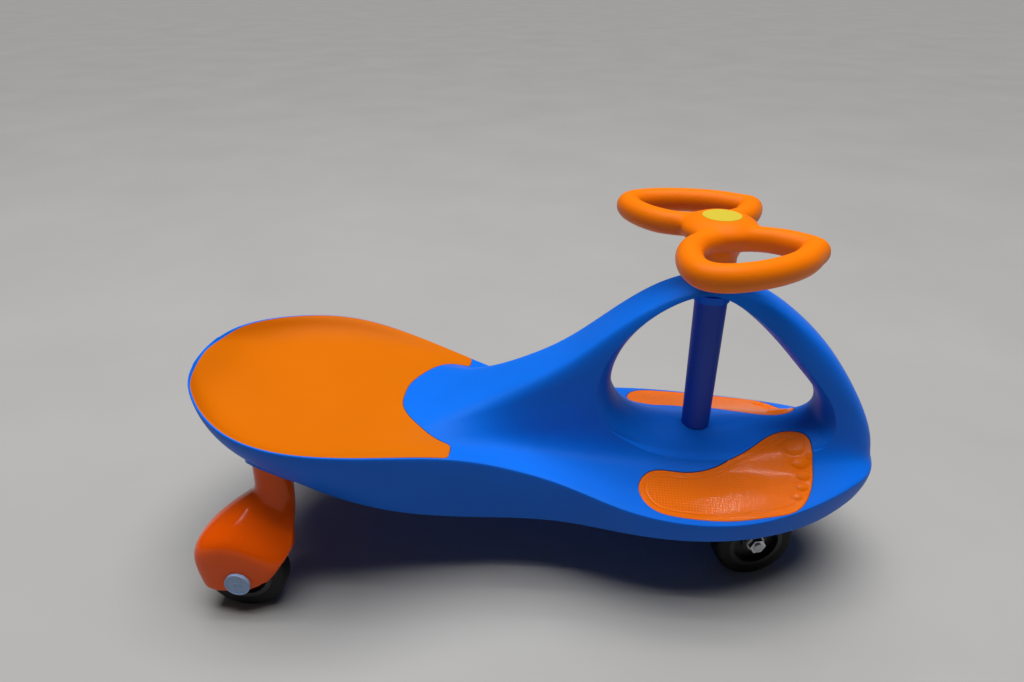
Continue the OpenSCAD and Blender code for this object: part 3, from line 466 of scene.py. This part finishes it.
def inside(outline, p):
    """Which points lie inside an outline."""
    a, b = outline, np.roll(outline, -1, 0)
    cross = (a[None, :, 1] > p[:, None, 1]) != (b[None, :, 1] > p[:, None, 1])
    with np.errstate(divide="ignore", invalid="ignore"):
        x = a[:, 0] + (p[:, None, 1] - a[:, 1]) * (b[:, 0] - a[:, 0]) / (b[:, 1] - a[:, 1])
    return np.sum(cross & (p[:, None, 0] < x), 1) % 2 == 1


def edge_distance(outline, p):
    """Distance of each point from an outline."""
    a, b = outline[None], np.roll(outline, -1, 0)[None]
    q = p[:, None]
    h = np.clip(np.sum((q - a) * (b - a), 2) / np.sum((b - a) ** 2, 2), 0, 1)
    return np.linalg.norm(q - a - h[..., None] * (b - a), axis=2).min(1)


def even(outline, step):
    """Closed outline resampled evenly."""
    p = np.vstack([outline, outline[:1]])
    s = np.r_[0, np.cumsum(np.linalg.norm(np.diff(p, axis=0), axis=1))]
    t = np.linspace(0, s[-1], max(24, int(s[-1] / step)), endpoint=False)
    return np.c_[np.interp(t, s, p[:, 0]), np.interp(t, s, p[:, 1])]


def fill(outline, spacing):
    """Even triangles over an outline, whose points come first."""
    lo, hi = outline.min(0), outline.max(0)
    gx, gy = np.meshgrid(np.arange(lo[0], hi[0], spacing), np.arange(lo[1], hi[1], spacing * 0.866))
    gx = gx + (np.arange(len(gx)) % 2)[:, None] * spacing / 2
    p = np.c_[gx.ravel(), gy.ravel()]
    p = p[inside(outline, p)]
    p = p[edge_distance(outline, p) > 0.6 * spacing]
    verts = [Vector(v) for v in np.vstack([outline, p])]
    n = len(outline)
    found = delaunay_2d_cdt(verts, [], [list(range(n))], 1, 1e-5)
    return np.array([(v.x, v.y) for v in found[0]]), [list(f) for f in found[2]], n


def relaxed(z, faces, n, rounds):
    """Heights evened out with their neighbours; the first n stay."""
    a, b = np.array([(f[i], f[i - 1]) for f in faces for i in range(len(f))]).T
    count = np.bincount(a, minlength=len(z)) + np.bincount(b, minlength=len(z))
    for _ in range(rounds):
        total = np.bincount(a, z[b], len(z)) + np.bincount(b, z[a], len(z))
        z = np.r_[z[:n], (total / count)[n:]]
    return z


def inlay(name, outline, tree, start, spacing, relief=None, edge=1.0, rise=0.0, rounds=0):
    """A sheet that follows the shell, with a rounded edge."""
    outline = even(outline, spacing)
    points, sheet, n = fill(offset(outline, -edge), spacing)
    z = relaxed(heights(tree, points, start) + rise, sheet, n, rounds)
    top = np.c_[points, z + (relief(points, edge_distance(outline, points)) if relief else 0)]
    rings = [offset(outline, -0.3 * edge), outline, outline]
    falls = (0.3 * edge, edge, LAYER)
    loops = [np.c_[r, z[:n] - fall] for r, fall in zip(rings, falls)]
    verts = np.vstack([top] + loops + [np.c_[points, z - LAYER]])
    m = len(points)
    starts = [0, m, m + n, m + 2 * n, m + 3 * n]
    faces = sheet + [[i + starts[-1] for i in f][::-1] for f in sheet]
    for a, b in zip(starts, starts[1:]):
        faces += [(a + j, b + j, b + (j + 1) % n, a + (j + 1) % n) for j in range(n)]
    return make(name, verts, faces)


def pocket(outline, tree, start, height):
    """Cutter for the bed of an inlay."""
    spacing = 4
    outline = even(offset(outline, BED_GAP), spacing)
    points, faces, n = fill(outline, spacing)
    z = heights(tree, points, start)
    m = len(points)
    verts = np.vstack([np.c_[points, z - BED_DEPTH], np.c_[points, z + height]])
    faces += [[i + m for i in f][::-1] for f in faces]
    faces += [(j, (j + 1) % n, m + (j + 1) % n, m + j) for j in range(n)]
    return make("pocket", verts, faces)


def seat_outline(lip):
    """Plan outline of the seat panel: inside the rim behind, round the lobe in front."""
    rim = (basis(len(CONTROLS), 3, np.linspace(0, 1, 400)) @ CONTROLS[:, RIM])[:, :2]
    around = np.vstack([rim[:-1], rim[:0:-1] * (1, -1)])
    inner = offset(around, -lip)[:len(rim)]
    inner = inner[(inner[:, 0] < HORN_X - HORN_CORNER) & (inner[:, 1] > 0.5)]
    lobe = ring(LOBE, shares(OUTLINE_STEPS))
    front = lobe[(lobe[:, 1] > 0.5) & (lobe[:, 0] < HORN_X - HORN_CORNER)]
    front = front[np.argsort(front[:, 0])][::-1]
    horn = [(HORN_X, inner[-1, 1] - HORN_CORNER), (HORN_X, front[0, 1] + HORN_CORNER)]
    left = np.vstack([inner, horn, front])
    whole = even(np.vstack([left, left[::-1] * (1, -1)]), 1.5)
    for _ in range(6):
        whole = 0.25 * np.roll(whole, 1, 0) + 0.5 * whole + 0.25 * np.roll(whole, -1, 0)
    return whole


def foot_relief(points, edge):
    """A footrest's inner outline, which stops at the toes, and its five toes."""
    z = -INNER_DEPTH * np.exp(-((edge - INNER_LINE) / 1.0) ** 2)
    for x, y, a, b, turn in TOES:
        c, s = math.cos(math.radians(turn)), math.sin(math.radians(turn))
        d = points - (x, y)
        r = np.hypot((d[:, 0] * c + d[:, 1] * s) / a, (d[:, 1] * c - d[:, 0] * s) / b)
        z = np.where(r < 1.3, 0, z)
        dome = np.clip(1.1 - 1.1 * r**2, 0, 1) ** 0.7
        z += TOE_RISE * dome - TOE_GROOVE * np.exp(-((r - 1.12) / 0.14) ** 2)
    return z


# Pieces
def build_shell():
    """The shell with its openings and beds, the seat panel and both footrests."""
    shell = outer_form("body_shell_look")
    whole_tree = tree_of(shell)
    combine(shell, window_form())
    cut_tree = tree_of(shell)
    foot = ring(FOOT, shares(OUTLINE_STEPS))
    combine(shell, hollow_form())
    combine(shell, pocket(seat_outline(SEAT_LIP), whole_tree, SEAT_TOP, SEAT_CLEAR))
    cut = pocket(foot, cut_tree, DECK_TOP, DECK_CLEAR)
    cut_right = mirrored(cut, "pocket_right")
    combine(shell, cut)
    combine(shell, cut_right)
    for boss in COLUMN_BOSSES:
        combine(shell, moved(rod(*boss), COLUMN), "UNION")
    for side in (1, -1):
        stem = at(STEM[0], side * STEM[1], 0)
        boss = moved(rod(*STEM_BOSS), stem)
        lower = Matrix.Identity(4)
        lower[2][0], lower[2][3] = BOSS_SLOPE, BOSS_SHIFT
        combine(boss, moved(outer_form("low_form", False), lower), "INTERSECT")
        combine(shell, boss, "UNION")
        combine(shell, moved(rod(*STEM_SOCKET), stem))
    for cut in COLUMN_CUTS:
        combine(shell, moved(rod(*cut), COLUMN))
    panel = inlay("seat_panel_look", seat_outline(SEAT_LIP - PANEL_ROLL), whole_tree, SEAT_TOP, 2.5,
                  edge=1.2, rise=0.7)
    left = inlay("footrest_left_look", foot, cut_tree, DECK_TOP, 1, relief=foot_relief, rounds=150)
    right = mirrored(left, "footrest_right_look")
    return smooth(shell, 27), smooth(panel), smooth(left, 50), smooth(right, 50)


def build_wheel():
    """The steering wheel: two loops blended into a hub, turned as in the photo."""
    steps = 150
    p = ring(np.array(LOOP) * LOOP_REACH, np.arange(steps) / steps)
    d = np.roll(p, -1, 0) - np.roll(p, 1, 0)
    out = np.c_[-d[:, 1], d[:, 0]] / np.linalg.norm(d, axis=1)[:, None]
    a = circle(28)
    loops = [np.c_[q[0] + n[0] * LOOP_RADIUS * np.cos(a), q[1] + n[1] * LOOP_RADIUS * np.cos(a),
                   LOOP_Z + LOOP_RADIUS * np.sin(a)] for q, n in zip(p, out)]
    wheel = loft("steering_wheel_look", loops, closed=True)
    combine(wheel, mirrored(wheel, "loop"), "UNION")
    combine(wheel, lathe("hub", WHEEL_HUB), "UNION")
    soften(wheel, 1.4, 10)
    blend = wheel.vertex_groups.new(name="blend")
    for v in wheel.data.vertices:
        r = math.hypot(v.co.x, v.co.y) / MM
        weight = min(1, max(0, (r - BLEND_FROM) / BLEND_IN))
        weight *= min(1, max(0, (BLEND_TO - r) / BLEND_OUT))
        blend.add([v.index], weight, "REPLACE")
    m = wheel.modifiers.new("blend", "SMOOTH")
    m.vertex_group, m.factor, m.iterations = "blend", SOFTEN, 70
    apply(wheel)
    for cut in WHEEL_CUTS:
        combine(wheel, rod(*cut))
    moved(wheel, COLUMN @ Matrix.Rotation(STEER_ANGLE, 4, "Z"))
    return smooth(wheel, 45)


def build_leg():
    """Both rear legs, with the stem, the wheel's housing and the seats of its axle."""
    rows = np.array(LEG, float)
    sections = basis(len(rows), 3, np.linspace(0, 1, 56)) @ rows
    a = circle(72)
    c, s = np.cos(a), np.sin(a)
    loops = []
    for z, rear, front, inner, outer, square in sections:
        x = (rear + front) / 2 + (front - rear) / 2 * np.sign(c) * np.abs(c) ** (2 / square)
        side = np.sign(s) * np.abs(s) ** (2 / square)
        y = (inner + outer) / 2 + (outer - inner) / 2 * side
        # the shoulder over the outer face is an arch
        level = z + ARCH_FALL * ((x - ARCH_X) / ARCH_HALF) ** 2
        arch = np.interp(level, sections[::-1, 0], sections[::-1, 4])
        y -= np.clip(side, 0, 1) * (outer - arch)
        loops.append(np.c_[x, y, np.full(len(a), z)])
    leg = loft("rear_leg_left_look", loops)
    t = np.linspace(0, math.pi, 40)
    well = np.r_[np.c_[WELL_RADIUS * np.cos(t), AXLE[1] + WELL_RADIUS * np.sin(t)],
                 [(-WELL_RADIUS, WELL_BOTTOM), (WELL_RADIUS, WELL_BOTTOM)]]
    combine(leg, slab("well", well + (AXLE[0], 0), WELL_SIDES))
    combine(leg, slab("trim", np.array(LEG_TRIM, float) + (AXLE[0], 0), TRIM_SIDES))
    for cheek in CHEEKS:
        combine(leg, moved(rod(*cheek), REAR_AXLE), "UNION")
    soften(leg, 1.3, 9)
    for cut in AXLE_CUTS:
        combine(leg, moved(rod(*cut), REAR_AXLE))
    right = mirrored(leg, "rear_leg_right_look")
    return smooth(leg, 50), smooth(right, 50)


# Materials: colour, roughness, then what differs from material()'s own values
FINISHES = {
    "blue_shell": dict(color=(0.003, 0.135, 0.70), rough=0.45, vary=0.04, grain=(1800, 0.06),
                       specular=0.16),
    "orange_seat": dict(color=(0.585, 0.133, 0.0), rough=0.5, vary=0.02, grain=(1500, 0.08),
                        specular=0.16),
    "orange_foot": dict(color=(0.80, 0.145, 0.0), rough=0.3, vary=0.02, coat=0.4, coat_rough=0.06,
                        specular=0.1),
    "orange_leg": dict(color=(0.80, 0.088, 0.0), rough=0.2, vary=0.02, grain=(900, 0.02),
                       coat=0.35, coat_rough=0.03, specular=0.05),
    "orange_wheel": dict(color=(0.88, 0.185, 0.0), rough=0.42, vary=0.02, grain=(1800, 0.06),
                         specular=0.25),
    "dark_blue": dict(color=(0.012, 0.060, 0.44), rough=0.5, grain=(1200, 0.1), specular=0.3),
    "yellow_cap": dict(color=(0.58, 0.46, 0.04), rough=0.45, vary=0.02, specular=0.2),
    "grey_cap": dict(color=(0.28, 0.40, 0.62), rough=0.35, vary=0.04),
    "bush": dict(color=(0.62, 0.62, 0.58), rough=0.45),
    "steel": dict(color=(0.55, 0.56, 0.58), rough=0.34, grain=(700, 0.12), metal=1.0),
    "bright": dict(color=(0.78, 0.78, 0.80), rough=0.16, grain=(500, 0.04), metal=1.0),
    "black_metal": dict(color=(0.012, 0.012, 0.014), rough=0.42, vary=0.2, grain=(900, 0.15)),
    "black_hub": dict(color=(0.010, 0.010, 0.011), rough=0.35, vary=0.2, grain=(1200, 0.08)),
    "tyre": dict(color=(0.006, 0.006, 0.007), rough=0.5, vary=0.35, grain=(900, 0.2), clouds=30,
                 specular=0.25),
}
FLOOR_FINISH = dict(color=(0.35, 0.345, 0.335), rough=0.85, vary=0.03, grain=(300, 0.1), clouds=3)
ROUGH_VARY = 0.06
# Height of the grain in metres; pitch and height of the footrests' dots
GRAIN_HEIGHT = 0.0004
DOT_PITCH, DOT_HEIGHT = 3.2, 0.16


def material(name, color, rough, vary=0.06, grain=(2500, 0.05), clouds=14, coat=0.0,
             coat_rough=0.05, metal=0.0, specular=0.5):
    """Moulded or metal surface: slightly uneven colour and gloss over a fine grain."""
    mat = bpy.data.materials.new(name)
    mat.use_nodes = True
    tree = mat.node_tree
    new, link = tree.nodes.new, tree.links.new
    shader = tree.nodes["Principled BSDF"]
    shader.inputs["Metallic"].default_value = metal
    shader.inputs["Specular IOR Level"].default_value = specular
    shader.inputs["Coat Weight"].default_value = coat
    shader.inputs["Coat Roughness"].default_value = coat_rough
    place = new("ShaderNodeTexCoord")
    cloud = new("ShaderNodeTexNoise")
    cloud.inputs["Scale"].default_value = clouds
    cloud.inputs["Detail"].default_value = 5
    link(place.outputs["Object"], cloud.inputs["Vector"])
    ramp = new("ShaderNodeValToRGB")
    dark, light = ramp.color_ramp.elements
    dark.position, light.position = 0.3, 0.7
    dark.color = tuple(c * (1 - vary) for c in color) + (1,)
    light.color = tuple(min(1, c * (1 + vary)) for c in color) + (1,)
    link(cloud.outputs["Fac"], ramp.inputs["Fac"])
    link(ramp.outputs["Color"], shader.inputs["Base Color"])
    gloss = new("ShaderNodeMapRange")
    gloss.inputs["To Min"].default_value = max(0.02, rough - ROUGH_VARY)
    gloss.inputs["To Max"].default_value = rough + ROUGH_VARY
    link(cloud.outputs["Fac"], gloss.inputs["Value"])
    link(gloss.outputs["Result"], shader.inputs["Roughness"])
    fine = new("ShaderNodeTexNoise")
    fine.inputs["Scale"].default_value = grain[0]
    fine.inputs["Detail"].default_value = 2
    link(place.outputs["Object"], fine.inputs["Vector"])
    bump = new("ShaderNodeBump")
    bump.inputs["Strength"].default_value = grain[1]
    bump.inputs["Distance"].default_value = GRAIN_HEIGHT
    link(fine.outputs["Fac"], bump.inputs["Height"])
    link(bump.outputs["Normal"], shader.inputs["Normal"])
    return mat


def add_dots(mat):
    """Adds rows of small raised dots to a material."""
    tree = mat.node_tree
    new, link = tree.nodes.new, tree.links.new
    shader = tree.nodes["Principled BSDF"]
    bump = next(n for n in tree.nodes if n.type == "BUMP")
    place = next(n for n in tree.nodes if n.type == "TEX_COORD")
    dots = new("ShaderNodeTexVoronoi")
    dots.voronoi_dimensions = "2D"
    dots.inputs["Scale"].default_value = 1 / (DOT_PITCH * MM)
    dots.inputs["Randomness"].default_value = 0.0
    link(place.outputs["Object"], dots.inputs["Vector"])
    shape = new("ShaderNodeMapRange")
    shape.interpolation_type = "SMOOTHSTEP"
    shape.inputs["From Min"].default_value = 0.22
    shape.inputs["From Max"].default_value = 0.42
    shape.inputs["To Min"].default_value = 1
    shape.inputs["To Max"].default_value = 0
    link(dots.outputs["Distance"], shape.inputs["Value"])
    raised = new("ShaderNodeBump")
    raised.inputs["Strength"].default_value = 0.6
    raised.inputs["Distance"].default_value = DOT_HEIGHT * MM
    link(shape.outputs["Result"], raised.inputs["Height"])
    link(bump.outputs["Normal"], raised.inputs["Normal"])
    link(raised.outputs["Normal"], shader.inputs["Normal"])
    link(raised.outputs["Normal"], shader.inputs["Coat Normal"])


paints = {slot: material(slot, **finish) for slot, finish in FINISHES.items()}
add_dots(paints["orange_foot"])
for part in frame["record"]["subparts"]:
    mesh = nodes[part["node"]].data
    mesh.materials.clear()
    mesh.materials.append(paints[part["material_slot"]])


def place_piece(obj, body, node, slot):
    """Puts a finished piece on its body, in place of its CAD node."""
    obj.data.materials.clear()
    obj.data.materials.append(paints[slot])
    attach(obj, body)
    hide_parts(node)


shell, panel, foot_left, foot_right = build_shell()
place_piece(shell, "car", "body_shell", "blue_shell")
place_piece(panel, "car", "seat_panel", "orange_seat")
place_piece(foot_left, "car", "footrest_left", "orange_foot")
place_piece(foot_right, "car", "footrest_right", "orange_foot")
place_piece(build_wheel(), "steering", "steering_wheel", "orange_wheel")
leg_left, leg_right = build_leg()
place_piece(leg_left, "car", "rear_leg_left", "orange_leg")
place_piece(leg_right, "car", "rear_leg_right", "orange_leg")

# Floor
FLOOR_HALF = 30000
floor = make("floor", [(x * FLOOR_HALF, y * FLOOR_HALF, 0)
                       for x, y in ((-1, -1), (1, -1), (1, 1), (-1, 1))], [(0, 1, 2, 3)])
floor.data.materials.append(material("floor", **FLOOR_FINISH))

# Lights, in metres, watts and degrees: a wide soft ceiling, three tubes that show as narrow
# streaks in the gloss, and a weak fill from the right rear
CEILING_POWER, CEILING_ANGLE, CEILING_TILT = 3.3, 50, (-8, 3)
TUBE_X, TUBE_YS, TUBE_Z = -0.2, (-0.5, 0.15, 0.8), 2.5
TUBE_SIZE, TUBE_POWER = (2.4, 0.03), 8
FILL_PLACE, FILL_TARGET, FILL_SIZE, FILL_POWER = (-1.2, -2.2, 1.7), (0, 0, 0.2), (1.6, 1.2), 0.25
# World: colour, and strength as a light and as the backdrop of low views
WORLD_COLOR, WORLD_LIGHT, WORLD_SEEN = (0.9, 0.93, 1, 1), 0.05, 0.42


def light_object(name, data):
    """Links a light into the scene."""
    obj = bpy.data.objects.new(name, data)
    bpy.context.collection.objects.link(obj)
    return obj


def area_light(name, place, target, size, power):
    """Rectangular light that looks at a target."""
    data = bpy.data.lights.new(name, "AREA")
    data.shape, data.size, data.size_y = "RECTANGLE", size[0], size[1]
    data.energy = power
    obj = light_object(name, data)
    obj.location = place
    obj.rotation_euler = (Vector(target) - Vector(place)).to_track_quat("-Z", "Y").to_euler()


sky = bpy.data.lights.new("ceiling", "SUN")
sky.energy, sky.angle = CEILING_POWER, math.radians(CEILING_ANGLE)
ceiling = light_object("ceiling", sky)
ceiling.rotation_euler = (math.radians(CEILING_TILT[0]), math.radians(CEILING_TILT[1]), 0)
ceiling.visible_glossy = False
for k, y in enumerate(TUBE_YS):
    area_light(f"tube_{k}", (TUBE_X, y, TUBE_Z), (TUBE_X, y, 0), TUBE_SIZE, TUBE_POWER)
area_light("fill", FILL_PLACE, FILL_TARGET, FILL_SIZE, FILL_POWER)

world = bpy.data.worlds.new("studio")
world.use_nodes = True
world_nodes, world_link = world.node_tree.nodes, world.node_tree.links.new
backdrop = world_nodes["Background"]
backdrop.inputs["Color"].default_value = WORLD_COLOR
seen = world_nodes.new("ShaderNodeMapRange")
seen.inputs["To Min"].default_value = WORLD_LIGHT
seen.inputs["To Max"].default_value = WORLD_SEEN
rays = world_nodes.new("ShaderNodeLightPath")
world_link(rays.outputs["Is Camera Ray"], seen.inputs["Value"])
world_link(seen.outputs["Result"], backdrop.inputs["Strength"])
bpy.context.scene.world = world
bpy.context.scene.view_settings.view_transform = "Standard"

# Camera as fitted to the photo: place, lens and sensor in millimetres, turns in degrees
CAMERA_PLACE, CAMERA_LENS, CAMERA_SENSOR = (25.4, -722.1, 628.6), 26.154, 36
CAMERA_TURN, CAMERA_DOWN, CAMERA_ROLL = 4.033, 27.433, -0.156
camera_data = bpy.data.cameras.new("camera")
camera_data.sensor_width = CAMERA_SENSOR
camera_data.lens = CAMERA_LENS
camera = bpy.data.objects.new("camera", camera_data)
bpy.context.collection.objects.link(camera)
turn = Matrix.Rotation(math.radians(CAMERA_TURN), 4, "Z")
tilt = Matrix.Rotation(math.radians(90 - CAMERA_DOWN), 4, "X")
roll = Matrix.Rotation(math.radians(CAMERA_ROLL), 4, "Z")
camera.matrix_world = at(*CAMERA_PLACE) @ (turn @ tilt) @ roll
bpy.context.scene.camera = camera
